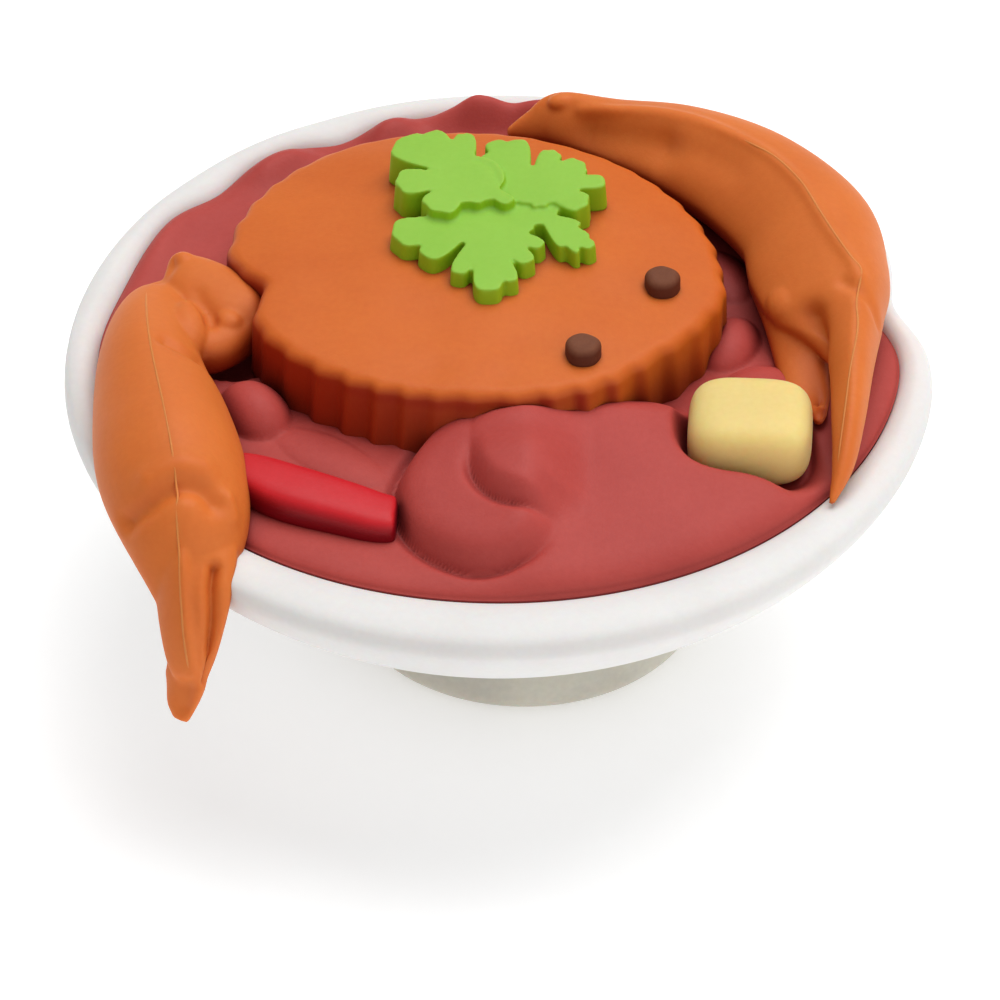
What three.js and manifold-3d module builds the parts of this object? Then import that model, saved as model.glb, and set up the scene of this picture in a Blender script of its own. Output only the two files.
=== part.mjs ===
// A moulded rubber charm: a crab in chilli sauce, served in a round white bowl.
// Millimetres, +Z up. The origin is the centre of the foot's flat underside, and -Y is the front.
// Each colour of the charm is its own solid. Neighbours keep a small gap, so that none overlap.
import * as THREE from "three";
import { mergeVertices } from "three/addons/utils/BufferGeometryUtils.js";
import Module from "manifold-3d";

const wasm = await Module();
wasm.setup();

const TURN = 2 * Math.PI;
const GAP = 0.15; // clearance between neighbouring solids

// ---------------------------------------------------------------- driving sizes

const FOOT = { radius: 6.8, height: 2.5, rounding: 0.9 };
const BOWL = { x: -0.83, y: 0.4, radius: 16, crest: 11.2, floor: 5.2, floorRadius: 7.5 };
const SAUCE = { edge: 10.85, dome: 0.5, roll: 0.4, backHeap: 0.8 };
const SHELL = { x: -1.0, y: 2.4, radius: 8.85, bottom: 11.0, middle: 14.25 };
const RIM = { height: 13.5, tilt: 0.4, bevel: 0.25, ribs: 40, ribDepth: 0.12 };
const EYE = { radius: 0.66, height: 0.5, bevel: 0.15 };
const BUN = { x: 8.95, y: -5.15, z: 11.85, half: [2.25, 2.0, 1.4], turn: -0.06 };
const LEAF_THICKNESS = 0.85;

// ---------------------------------------------------------------- shared shapes

const smooth = (t) => t * t * (3 - 2 * t);
const clamp01 = (t) => Math.min(1, Math.max(0, t));
const bell = (d, width) => Math.exp(-((d / width) ** 2));
const degrees = (a) => (a * 180) / Math.PI;
const radians = (a) => (a * Math.PI) / 180;
// The signed angle from b to a, in degrees, between -180 and 180.
const angleBetween = (a, b) => ((((a - b) % 360) + 540) % 360) - 180;

// A closed solid through rings of equal length, each end closed by a fan to its ring's middle.
function loft(rings) {
  const sides = rings[0].length;
  const positions = rings.flat().flatMap((p) => [p.x, p.y, p.z]);
  const middles = [rings[0], rings.at(-1)].map((ring) =>
    ring.reduce((sum, p) => sum.add(p), new THREE.Vector3()).divideScalar(sides),
  );
  middles.forEach((p) => positions.push(p.x, p.y, p.z));
  const first = rings.length * sides;
  const index = [];
  for (let i = 0; i < sides; i++) {
    const j = (i + 1) % sides;
    index.push(first, j, i);
    const top = (rings.length - 1) * sides;
    index.push(first + 1, top + i, top + j);
    for (let k = 0; k < rings.length - 1; k++) {
      const [a, b] = [k * sides + i, k * sides + j];
      index.push(a, b, b + sides, a, b + sides, a + sides);
    }
  }
  const geometry = new THREE.BufferGeometry();
  geometry.setAttribute("position", new THREE.Float32BufferAttribute(positions, 3));
  geometry.setIndex(index);
  return geometry;
}

// One ring of points at the angles of a circle, where point(angle) gives [x, y, z].
const ringOf = (sides, point) =>
  Array.from({ length: sides }, (_, i) => new THREE.Vector3(...point((i / sides) * TURN)));

function solidOf(geometry) {
  const bare = geometry.clone();
  bare.deleteAttribute("normal");
  bare.deleteAttribute("uv");
  const merged = mergeVertices(bare, 1e-4);
  return new wasm.Manifold(
    new wasm.Mesh({
      numProp: 3,
      vertProperties: new Float32Array(merged.attributes.position.array),
      triVerts: new Uint32Array(merged.index.array),
    }),
  );
}

function geometryOf(solid) {
  const mesh = solid.getMesh();
  const geometry = new THREE.BufferGeometry();
  geometry.setAttribute("position", new THREE.BufferAttribute(mesh.vertProperties, 3));
  geometry.setIndex(new THREE.BufferAttribute(mesh.triVerts, 1));
  geometry.computeVertexNormals();
  return geometry;
}

const joined = (solids) => solids.reduce((whole, piece) => whole.add(piece));
const cutBy = (solid, cutters) => cutters.reduce((left, cutter) => left.subtract(cutter), solid);
// Of a cut solid, the piece that matters: slivers left beside a cutter are dropped.
const largest = (solid) => solid.decompose().reduce((a, b) => (b.volume() > a.volume() ? b : a));

// ---------------------------------------------------------------- foot

// A round pad of milky rubber with a rounded lower edge, which the bowl stands on.
function foot() {
  const arcSteps = 3;
  const profile = [new THREE.Vector2(0, 0)];
  for (let i = 0; i <= arcSteps; i++) {
    const a = (i / arcSteps) * (Math.PI / 2);
    profile.push(
      new THREE.Vector2(
        FOOT.radius - FOOT.rounding * (1 - Math.sin(a)),
        FOOT.rounding * (1 - Math.cos(a)),
      ),
    );
  }
  profile.push(new THREE.Vector2(FOOT.radius, FOOT.height), new THREE.Vector2(0, FOOT.height));
  return new THREE.LatheGeometry(profile, 36).rotateX(Math.PI / 2);
}

// ---------------------------------------------------------------- bowl

// The bowl's outer radius as a share of BOWL.radius: round, a little flat on the right,
// and pinched in where the right claw's knuckle leans on the rim.
function bowlShare(angle) {
  const a = degrees(angle);
  const flat = 0.017 * bell(angleBetween(a, -22), 42);
  const pinch = 0.062 * bell(angleBetween(a, 13), 8.5);
  return 1 - flat - pinch;
}

// The lip's inner edge: the lip is broad at the front and narrow at the sides and the back.
const lipInner = (angle) => 14.05 + 0.75 * Math.sin(angle) + 0.7 * Math.cos(angle) ** 2;

// Radius and height of the outer wall, from the underside up to the lip's outer corner.
const OUTER_WALL = [
  [6.3, FOOT.height + GAP],
  [10.0, 5.0],
  [12.6, 6.6],
  [14.2, 7.95],
  [15.1, 8.95],
  [15.7, 9.75],
  [16.0, 10.4],
  [15.85, 10.85],
];

// grow moves every wall outwards, for cutting the solids that lean on the bowl.
function bowl(grow = 0, sides = 56) {
  const ring = (radiusAt, height) =>
    ringOf(sides, (a) => {
      const r = radiusAt(a) * bowlShare(a);
      return [r * Math.cos(a), r * Math.sin(a), height];
    });
  const outer = OUTER_WALL.map(([r, z], i) => ring(() => r + grow, i ? z : z - grow));
  return loft([
    ...outer,
    ring((a) => (lipInner(a) + BOWL.radius) / 2 + 0.1, BOWL.crest + grow),
    ring((a) => lipInner(a) + 0.3 - grow, BOWL.crest - 0.2 + grow),
    ring((a) => lipInner(a) - grow, BOWL.crest - 0.7 + grow),
    ring((a) => lipInner(a) - 1.1 - grow, 8.7 + grow),
    ring(() => 10.6 - grow, 6.9 + grow),
    ring(() => BOWL.floorRadius, BOWL.floor + grow),
  ]);
}

// ---------------------------------------------------------------- chilli sauce

// Mounds of the sauce: [x, y, radius along, radius across, turn in degrees, height].
const MOUNDS = [
  [2.8, -5.9, 6.0, 2.6, 7, 1.8], // bank against the front of the shell
  [-1.9, -6.2, 2.0, 1.7, 0, 1.1], // where the bank begins, at the left
  [0.3, -8.4, 4.2, 4.1, 0, 1.0], // big curl
  [1.7, -7.2, 3.0, 2.4, 0, 0.6], // small curl on top of it
  [-9.0, -3.4, 1.9, 1.5, -65, 1.3], // lump beside the left claw
  [-0.5, 13.5, 1.3, 1.4, 0, 1.8], // peak at the back
  [1.6, 13.2, 1.3, 1.3, 0, 0.9],
  [-4.2, 13.0, 1.5, 1.2, 15, 0.6],
  [-8.4, 11.1, 1.8, 1.3, 35, 0.6],
  [-12.0, 7.4, 2.2, 1.4, 60, 0.4],
  [8.6, 0.0, 1.7, 1.4, 60, 0.7],
];

// How far the sauce reaches from the bowl's axis in each direction.
function sauceReach(angle) {
  const wave = 0.2 * Math.sin(9 * angle) * clamp01(Math.sin(angle) * 1.4);
  return (lipInner(angle) - GAP - 0.1 + Math.min(wave, 0.1)) * bowlShare(angle);
}

function mound(x, y, [cx, cy, along, across, turn, height]) {
  const [c, s] = [Math.cos(radians(turn)), Math.sin(radians(turn))];
  const u = ((x - cx) * c + (y - cy) * s) / along;
  const v = (-(x - cx) * s + (y - cy) * c) / across;
  return height * smooth(clamp01(1.25 - Math.hypot(u, v)) / 1.25);
}

// Height of the sauce at a share (0 to 1) of its reach in one direction.
function sauceHeight(angle, share) {
  const r = share * sauceReach(angle);
  const [x, y] = [r * Math.cos(angle), r * Math.sin(angle)];
  const rolled = SAUCE.roll * Math.sqrt(1 - (clamp01(share - 0.93) / 0.07) ** 2);
  const domed = SAUCE.dome * (1 - share ** 2);
  const heaped = SAUCE.backHeap * smooth(clamp01(0.4 + Math.sin(angle))) * Math.sqrt(1 - share ** 8);
  const mounded = MOUNDS.reduce((sum, m) => sum + mound(x, y, m), 0);
  return SAUCE.edge - SAUCE.roll + rolled + domed + heaped + mounded;
}

function sauce(grow = 0) {
  const sides = 56;
  const wall = [
    [() => BOWL.floorRadius - 0.2, BOWL.floor + GAP],
    [() => 10.4, 7.1],
    [(a) => lipInner(a) - 1.2, 9.0],
  ].map(([radiusAt, height]) =>
    ringOf(sides, (a) => {
      const r = (radiusAt(a) - GAP) * bowlShare(a);
      return [r * Math.cos(a), r * Math.sin(a), height];
    }),
  );
  const shares = [1, 0.985, 0.93, 0.84, 0.74, 0.64, 0.54, 0.42, 0.25];
  const top = shares.map((share) =>
    ringOf(sides, (a) => {
      const r = share * (sauceReach(a) + grow);
      return [r * Math.cos(a), r * Math.sin(a), sauceHeight(a, share) + grow];
    }),
  );
  return loft([...wall, ...top]);
}

// ---------------------------------------------------------------- crab shell

// The shell's outline round its own middle: flattened at the face, with a corner at its right end
// and a notch for the left arm.
function shellRadius(angle) {
  const a = degrees(angle);
  const broad = 0.4 * Math.cos(2 * (angle + radians(28)));
  const flat = 0.65 * bell(angleBetween(a, -80), 40) + 0.45 * bell(angleBetween(a, -38), 17);
  const corner = 0.15 * bell(angleBetween(a, -10), 6);
  const notch = 1.1 * bell(angleBetween(a, -171), 9);
  return SHELL.radius + broad + corner - flat - notch;
}

// Soft ribs run down the wall and round the rim, and the rim is higher at the face than at the back.
const ribs = (angle) => RIM.ribDepth * Math.sin(RIM.ribs * angle + 0.8 * Math.sin(3 * angle));
const rimHeight = (angle) => RIM.height - RIM.tilt * Math.sin(angle);

function shellTop(angle, share) {
  const rim = rimHeight(angle);
  return rim + (SHELL.middle - rim) * (1 - share ** 2);
}

function shell() {
  const crown = 0.66; // the share of the radius where the top closes
  const ring = (share, heightAt, inset = 0, ribbed = 1) =>
    ringOf(RIM.ribs * 3, (a) => {
      const r = share * (shellRadius(a) - inset + ribbed * ribs(a));
      return [SHELL.x + r * Math.cos(a), SHELL.y + r * Math.sin(a), heightAt(a)];
    });
  return loft([
    ring(1, () => SHELL.bottom),
    ring(1, (a) => rimHeight(a) - RIM.bevel),
    ring(1, rimHeight, 0.3, 0.6),
    ring(crown, (a) => shellTop(a, crown), 0, 0),
  ]);
}

// The same form with a smooth wall, one gap larger all round: neighbours are cut to it.
function shellClearance(extraHeight = 0) {
  const crown = 0.66;
  const ring = (share, heightAt, inset = 0) =>
    ringOf(60, (a) => {
      const r = share * (shellRadius(a) + RIM.ribDepth + GAP - inset);
      return [SHELL.x + r * Math.cos(a), SHELL.y + r * Math.sin(a), heightAt(a) + GAP];
    });
  return loft([
    ring(1, () => SHELL.bottom - 2 * GAP),
    ring(1, (a) => rimHeight(a) - 0.1 + extraHeight),
    ring(1, (a) => rimHeight(a) + extraHeight, RIM.bevel),
    ring(crown, (a) => shellTop(a, crown) + extraHeight),
  ]);
}

// A small round peg standing on the shell, [x, y] from the bowl's axis.
function eye(x, y) {
  const angle = Math.atan2(y - SHELL.y, x - SHELL.x);
  const share = Math.hypot(x - SHELL.x, y - SHELL.y) / SHELL.radius;
  const base = shellTop(angle, share) + GAP;
  const profile = [
    [0, 0],
    [EYE.radius, 0],
    [EYE.radius, EYE.height - EYE.bevel],
    [EYE.radius - EYE.bevel, EYE.height],
    [0, EYE.height],
  ].map(([r, z]) => new THREE.Vector2(r, z));
  return new THREE.LatheGeometry(profile, 16).rotateX(Math.PI / 2).translate(x, y, base);
}

// ---------------------------------------------------------------- claws

// A limb is lofted along a smooth curve. Each station is a centre and five sizes, seen along the
// limb: width to the right, width to the left, ridge height, depth, and how far right the ridge lies.
// sharp bends the right and the left flank inwards; 1 is round.
function limb(stations, { sides, steps, sharp }) {
  const curve = (points) => new THREE.CatmullRomCurve3(points.map((p) => new THREE.Vector3(...p)));
  const line = curve(stations.map((s) => s.at));
  const widths = curve(stations.map((s) => s.size.slice(0, 3)));
  const depths = curve(stations.map((s) => [...s.size.slice(3), 0]));
  const up = new THREE.Vector3(0, 0, 1);
  const rings = Array.from({ length: steps + 1 }, (_, k) => {
    const t = k / steps;
    const [centre, tangent] = [line.getPoint(t), line.getTangent(t)];
    const [width, low] = [widths.getPoint(t), depths.getPoint(t)];
    const side = up.clone().cross(tangent).normalize();
    const rise = tangent.clone().cross(side);
    return ringOf(sides, (a) => {
      const [c, s] = [Math.cos(a), Math.sin(a)];
      const [half, bend] = c > 0 ? [width.x, sharp[0]] : [-width.y, sharp[1]];
      const across = s > 0 ? (half - low.y) * Math.abs(c) ** bend + low.y : half * Math.abs(c);
      const height = s > 0 ? width.z * s ** bend : low.x * s;
      return centre.clone().addScaledVector(side, across).addScaledVector(rise, height).toArray();
    });
  });
  return solidOf(loft(rings));
}

const station = (at, size) => ({ at, size });

// A rounded lump, to be joined to a limb.
const blob = (centre, radii) =>
  solidOf(new THREE.SphereGeometry(1, 12, 8).scale(...radii).translate(...centre));

// The left claw: arm, palm over the rim, and two closed fingers hanging down outside the bowl.
function leftClaw() {
  const palm = limb(
    [
      station([-12.0, 3.6, 12.3], [0.8, 0.8, 0.6, 0.8, 0]),
      station([-12.5, 1.6, 12.3], [1.5, 1.6, 1.15, 1.3, -0.5]),
      station([-12.75, -1.6, 12.2], [1.85, 1.95, 1.75, 1.6, -0.2]),
      station([-12.3, -4.9, 12.1], [2.5, 2.5, 2.2, 1.9, 0]),
      station([-11.85, -7.6, 12.0], [2.7, 2.7, 2.4, 2.1, 0.1]),
      station([-11.35, -9.9, 11.55], [2.4, 2.4, 2.15, 1.8, 0]),
      station([-11.15, -11.4, 10.85], [1.8, 1.85, 1.2, 1.4, 0]),
      station([-11.1, -12.5, 9.8], [1.1, 1.1, 0.5, 1.0, 0]),
      station([-11.1, -13.0, 9.1], [0.5, 0.5, 0.2, 0.5, 0]),
    ],
    { steps: 15, sides: 14, sharp: [1.15, 1.15] },
  );
  const upperFinger = limb(
    [
      station([-11.35, -9.6, 11.3], [0.9, 1.1, 1.2, 1.0, 0]),
      station([-11.35, -11.3, 10.9], [0.85, 1.1, 1.4, 1.0, 0]),
      station([-11.3, -12.7, 9.6], [0.75, 0.95, 1.1, 0.8, 0]),
      station([-11.2, -13.5, 8.5], [0.65, 0.8, 0.8, 0.6, 0]),
      station([-11.1, -13.9, 7.9], [0.5, 0.6, 0.55, 0.35, 0.05]),
      station([-11.05, -14.1, 7.6], [0.25, 0.3, 0.25, 0.15, 0.05]),
    ],
    { steps: 8, sides: 12, sharp: [1.3, 1.3] },
  );
  const lowerFinger = limb(
    [
      station([-10.7, -8.4, 11.6], [1.3, 1.5, 1.0, 1.2, 0]),
      station([-10.65, -10.6, 11.55], [1.3, 1.4, 0.75, 1.2, 0]),
      station([-10.6, -12.5, 10.75], [1.05, 1.2, 0.5, 1.0, 0]),
      station([-10.8, -13.4, 9.1], [0.8, 1.05, 0.4, 0.8, 0]),
      station([-11.1, -13.95, 7.75], [0.66, 1.05, 0.35, 0.6, 0]),
      station([-11.32, -14.25, 6.75], [0.5, 0.8, 0.3, 0.45, 0]),
      station([-11.45, -14.45, 6.2], [0.28, 0.34, 0.2, 0.25, 0]),
    ],
    { steps: 8, sides: 12, sharp: [1, 1] },
  );
  const arm = limb(
    [
      station([-12.0, 4.0, 12.5], [0.35, 0.35, 0.4, 0.5, 0]),
      station([-11.4, 3.15, 12.4], [1.0, 1.2, 0.75, 1.0, 0.2]),
      station([-10.4, 2.0, 12.3], [1.45, 1.5, 0.9, 1.2, 0.3]),
      station([-9.5, 1.1, 12.2], [1.25, 1.3, 0.9, 1.1, 0.2]),
      station([-8.9, 0.5, 12.1], [0.6, 0.7, 0.5, 0.6, 0]),
    ],
    { steps: 7, sides: 12, sharp: [1.1, 1] },
  );
  const armpit = limb(
    [
      station([-11.6, -0.6, 12.2], [1.2, 0.6, 0.7, 1.0, 0]),
      station([-10.6, -0.05, 12.25], [1.2, 0.95, 0.75, 1.0, 0]),
      station([-9.7, 0.6, 12.2], [1.1, 0.8, 0.75, 1.0, 0]),
      station([-8.9, 1.1, 12.1], [0.7, 0.5, 0.6, 0.8, 0]),
    ],
    { steps: 5, sides: 12, sharp: [1, 1] },
  );
  const cuff = blob([-11.5, -0.1, 12.35], [0.95, 1.55, 0.95]);
  return joined([palm, upperFinger, lowerFinger, arm, armpit, cuff]);
}

// The right claw: it lies along the back of the rim, and its open fingers point to the front.
function rightClaw() {
  const palm = limb(
    [
      station([0.2, 12.0, 12.2], [0.15, 0.15, 0.2, 0.2, 0]),
      station([1.1, 12.05, 12.35], [0.5, 0.5, 0.75, 0.6, 0.1]),
      station([2.2, 12.0, 12.5], [0.9, 0.9, 1.4, 1.0, 0.2]),
      station([4.2, 11.2, 12.6], [1.5, 1.3, 1.55, 1.3, -0.2]),
      station([6.6, 9.9, 12.7], [2.1, 1.8, 2.0, 1.5, -0.2]),
      station([9.2, 7.9, 12.8], [2.4, 2.3, 2.25, 1.7, -0.1]),
      station([11.0, 5.2, 12.8], [2.75, 2.4, 2.3, 1.8, 0]),
      station([11.6, 2.8, 12.7], [2.6, 2.55, 2.2, 1.7, 0.35]),
      station([11.8, 0.9, 12.7], [2.35, 2.1, 2.0, 1.4, 1.0]),
      station([12.1, -0.8, 12.7], [1.75, 0.8, 1.6, 1.0, 0.7]),
      station([12.4, -3.0, 12.8], [1.05, 0.6, 1.2, 0.7, 0.25]),
      station([12.45, -5.2, 12.5], [0.65, 0.6, 0.9, 0.55, 0.1]),
      station([12.25, -7.2, 12.0], [0.4, 0.42, 0.55, 0.45, 0]),
      station([11.8, -8.6, 11.4], [0.12, 0.12, 0.12, 0.12, 0]),
    ],
    { steps: 20, sides: 16, sharp: [1, 1.5] },
  );
  const lowerFinger = limb(
    [
      station([10.6, 3.6, 12.0], [1.6, 1.6, 1.2, 1.2, 0]),
      station([10.9, 1.2, 11.9], [1.2, 1.35, 1.0, 1.0, 0]),
      station([11.05, -0.8, 11.6], [0.9, 1.05, 0.7, 0.8, 0.2]),
      station([11.25, -2.4, 11.5], [0.7, 0.9, 0.5, 0.6, 0.2]),
      station([11.45, -3.5, 11.5], [0.4, 0.4, 0.3, 0.4, 0.1]),
      station([11.45, -4.2, 11.5], [0.15, 0.15, 0.15, 0.15, 0]),
    ],
    { steps: 8, sides: 12, sharp: [1, 1] },
  );
  const knuckle = blob([9.95, 1.6, 12.9], [0.75, 0.75, 0.6]);
  return joined([palm, lowerFinger, knuckle]);
}

// ---------------------------------------------------------------- coriander sprig

// Each leaflet has a hub, a top level, the radius of its web and its lobes:
// [direction in degrees, reach, half spread in degrees].
const LEAFLETS = [
  {
    hub: [-1.13, 5.45],
    top: 15.3,
    web: 1.1,
    lobes: [
      [141, 3.5, 21],
      [120, 3.1, 13],
      [97, 2.6, 11],
      [-46, 2.1, 12],
      [-80, 1.6, 30],
      [-126, 2.45, 23.5],
      [-173, 2.8, 21.5],
    ],
  },
  {
    hub: [1.0, 5.3],
    top: 15.05,
    web: 1.1,
    lobes: [
      [135, 2.6, 14],
      [121, 3.05, 17],
      [100, 2.75, 15],
      [66, 2.3, 15],
      [33, 2.45, 18],
      [5, 2.8, 12.5],
      [-29, 2.45, 20],
      [-65, 1.4, 22],
    ],
  },
  {
    hub: [-0.66, 3.4],
    top: 14.88,
    web: 1.5,
    lobes: [
      [-166, 3.45, 20],
      [-136, 3.0, 13.5],
      [-107, 3.25, 9],
      [-87.5, 4.1, 11],
      [-74, 3.7, 7.5],
      [-56, 2.95, 10.5],
      [-34, 2.6, 12],
      [-12, 2.0, 24],
    ],
  },
  {
    hub: [1.25, 3.95],
    top: 14.88,
    web: 0.8,
    lobes: [
      [-28, 1.8, 10],
      [-40, 2.45, 9],
      [-46, 2.95, 9],
      [-58, 2.85, 5],
      [-67, 2.45, 11],
      [150, 0.9, 30],
    ],
  },
];

// Distance from the hub to the edge: round-ended lobes standing on the web, parted by narrow slits.
function leafletRadius(angle, { web, lobes }) {
  return lobes.reduce((widest, [direction, reach, spread]) => {
    const t = angleBetween(degrees(angle), direction) / spread;
    const lobe = Math.abs(t) < 1 ? web + (reach - web) * Math.sqrt(1 - t ** 4) : web;
    return Math.max(widest, lobe);
  }, web);
}

function leaflet({ hub, top, web, lobes }) {
  const bevel = 0.12;
  const ring = (inset, height) =>
    ringOf(64, (a) => {
      const r = leafletRadius(a, { web, lobes }) - inset;
      return [hub[0] + r * Math.cos(a), hub[1] + r * Math.sin(a), height];
    });
  const bottom = top - LEAF_THICKNESS - 0.6;
  return solidOf(loft([ring(0, bottom), ring(0, top - bevel), ring(bevel, top)]));
}

// ---------------------------------------------------------------- chilli and bun

// grow makes it thicker all round, for cutting the sauce it lies in.
function chilli(grow = 0) {
  const slice = (at, halfWidth, above, below) =>
    station(at, [halfWidth + grow, halfWidth + grow, above + grow, below + grow, 0]);
  return limb(
    [
      slice([-11.3, -6.9, 11.4], 0.35, 0.3, 0.3),
      slice([-9.6, -7.4, 11.5], 1.0, 0.8, 1.0),
      slice([-7.6, -8.3, 11.5], 1.15, 0.9, 1.1),
      slice([-5.5, -9.2, 11.4], 1.1, 0.9, 1.1),
      slice([-4.1 + grow, -9.8 - grow / 2, 11.35], 0.9, 0.8, 1.0),
    ],
    { sides: 16, steps: 8, sharp: [0.65, 0.65] },
  );
}

// A steamed bun: a box with soft, fully rounded sides.
function bun(grow = 0) {
  const [rows, sides] = [8, 24];
  const soft = (value, power) => Math.sign(value) * Math.abs(value) ** power;
  const rings = [];
  for (let k = 1; k < rows; k++) {
    const lift = -Math.PI / 2 + (k / rows) * Math.PI;
    rings.push(
      ringOf(sides, (a) => [
        (BUN.half[0] + grow) * soft(Math.cos(lift), 0.45) * soft(Math.cos(a), 0.55),
        (BUN.half[1] + grow) * soft(Math.cos(lift), 0.45) * soft(Math.sin(a), 0.55),
        (BUN.half[2] + grow) * soft(Math.sin(lift), 0.6),
      ]),
    );
  }
  return loft(rings).rotateZ(BUN.turn).translate(BUN.x, BUN.y, BUN.z);
}

// ---------------------------------------------------------------- the charm

const rubber = (color, roughness = 0.6) =>
  new THREE.MeshStandardMaterial({ color, roughness, metalness: 0 });
const WHITE = rubber("#e6e4e2");
const MILKY = rubber("#b1aea3", 0.5);
const CRAB_ORANGE = rubber("#d9702c");
const SAUCE_RED = rubber("#b3453e");
const LEAF_GREEN = rubber("#93c542");
const PEPPER_BROWN = rubber("#6a3822");
const CHILLI_RED = rubber("#cb1c26");
const BUN_YELLOW = rubber("#e4cc7c");

const charm = new THREE.Group();
const served = new THREE.Group(); // the bowl and what is in it, about the bowl's own axis
served.position.set(BOWL.x, BOWL.y, 0);
charm.add(served);

function add(name, geometry, material, parent = served) {
  const mesh = new THREE.Mesh(geometry, material);
  mesh.name = name;
  parent.add(mesh);
}

const grownBowl = solidOf(bowl(GAP));
const grownShell = solidOf(shellClearance());
const shellShaft = solidOf(shellClearance(2));
const grownSauce = solidOf(sauce(GAP));
const grownBun = solidOf(bun(GAP));

const sauceSolid = cutBy(solidOf(sauce()), [shellShaft, chilli(GAP), grownBun]);
const claws = { claw_left: leftClaw(), claw_right: rightClaw() };

add("foot", foot(), MILKY, charm);
add("bowl", bowl(), WHITE);
add("sauce", geometryOf(largest(sauceSolid)), SAUCE_RED);
add("crab_shell", shell(), CRAB_ORANGE);
for (const [name, claw] of Object.entries(claws)) {
  const fitted = cutBy(claw, [grownBowl, grownSauce, grownShell, grownBun]);
  add(name, geometryOf(largest(fitted)), CRAB_ORANGE);
}
add("eye_left", eye(2.92, -3.36), PEPPER_BROWN);
add("eye_right", eye(5.83, 0.72), PEPPER_BROWN);
add("coriander", geometryOf(largest(cutBy(joined(LEAFLETS.map(leaflet)), [grownShell]))), LEAF_GREEN);
add("chilli", geometryOf(largest(cutBy(chilli(), [claws.claw_left, grownBowl]))), CHILLI_RED);
add("bun", bun(), BUN_YELLOW);

export default charm;
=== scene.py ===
import math

import bpy
import numpy as np
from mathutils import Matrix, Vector
from mathutils.bvhtree import BVHTree


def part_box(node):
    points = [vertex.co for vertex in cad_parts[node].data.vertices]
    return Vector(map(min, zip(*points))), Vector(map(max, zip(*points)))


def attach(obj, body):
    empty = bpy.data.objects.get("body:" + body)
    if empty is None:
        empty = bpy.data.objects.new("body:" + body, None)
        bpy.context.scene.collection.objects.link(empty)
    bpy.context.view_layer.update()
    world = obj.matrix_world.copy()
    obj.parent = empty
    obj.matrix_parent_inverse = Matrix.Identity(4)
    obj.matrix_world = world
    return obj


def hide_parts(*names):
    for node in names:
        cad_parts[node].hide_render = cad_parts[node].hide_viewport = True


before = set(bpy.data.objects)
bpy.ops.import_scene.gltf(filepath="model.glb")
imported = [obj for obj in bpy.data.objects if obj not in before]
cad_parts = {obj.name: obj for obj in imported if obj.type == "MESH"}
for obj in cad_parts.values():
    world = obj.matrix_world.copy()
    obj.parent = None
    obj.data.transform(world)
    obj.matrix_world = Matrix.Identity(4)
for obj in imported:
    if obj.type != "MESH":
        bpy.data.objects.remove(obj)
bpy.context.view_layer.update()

# ---------------------------------------------------------------- foot
# The round button under the bowl, which the charm stands on and is pushed through a hole by. It is
# soft PVC with hardly any pigment, bonded to the bowl, with its lower edge moulded round.

MM = 0.001
TURN = 2 * math.pi


def corners(node_name):
    """The lowest and highest corner of a CAD solid, in millimetres."""
    low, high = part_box(node_name)
    return np.array(low) / MM, np.array(high) / MM


def smooth_through(points, steps):
    """A dense smooth line through the given points, both ends included."""
    p = np.asarray(points, float)
    padded = np.vstack([2 * p[0] - p[1], p, 2 * p[-1] - p[-2]])
    t = np.linspace(0, 1, steps, endpoint=False)[:, None]
    spans = []
    for k in range(len(p) - 1):
        a, b, c, d = padded[k:k + 4]
        bend = (2 * a - 5 * b + 4 * c - d) * t**2 + (3 * b - a - 3 * c + d) * t**3
        spans.append(0.5 * (2 * b + (c - a) * t + bend))
    return np.vstack(spans + [p[-1:]])


def skin_faces(count, sides):
    """Faces of a closed skin over `count` rings of `sides` points, with a middle point at each end."""
    i = np.arange(sides)
    j = (i + 1) % sides
    k = np.arange(count - 1)[:, None] * sides
    quads = np.stack([k + i, k + j, k + sides + j, k + sides + i], -1).reshape(-1, 4)
    last = (count - 1) * sides
    bottom = np.stack([np.full(sides, count * sides), j, i], -1)
    top = np.stack([np.full(sides, count * sides + 1), last + i, last + j], -1)
    return quads.tolist() + bottom.tolist() + top.tolist()


def skin(name, rings, origin):
    """A closed mesh object through rings of points, which are in millimetres from the origin."""
    rings = np.asarray(rings, float)
    points = np.vstack([rings.reshape(-1, 3), rings[0].mean(0), rings[-1].mean(0)])
    mesh = bpy.data.meshes.new(name)
    mesh.from_pydata(((points + origin) * MM).tolist(), [], skin_faces(*rings.shape[:2]))
    mesh.shade_smooth()
    piece = bpy.data.objects.new(name, mesh)
    bpy.context.scene.collection.objects.link(piece)
    return piece


def revolved(profile, sides):
    """Rings of a profile of [radius, height] turned about the vertical axis."""
    a = np.linspace(0, TURN, sides, endpoint=False)
    return [np.stack([r * np.cos(a), r * np.sin(a), np.full(sides, z)], -1) for r, z in profile]


def linear(hex_colour):
    """An sRGB hex colour as the linear RGBA that shaders take."""
    channels = [int(hex_colour[k:k + 2], 16) / 255 for k in (1, 3, 5)]
    return [c / 12.92 if c <= 0.04045 else ((c + 0.055) / 1.055) ** 2.4 for c in channels] + [1.0]


def add_node(tree, kind, settings=None, links=None):
    """Adds a shader node, gives its sockets and properties their settings, and links its inputs."""
    new = tree.nodes.new("ShaderNode" + kind)
    for key, value in (settings or {}).items():
        if isinstance(key, int) or key in new.inputs:
            new.inputs[key].default_value = value
        else:
            setattr(new, key, value)
    for key, source in (links or {}).items():
        tree.links.new(source, new.inputs[key])
    return new


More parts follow.
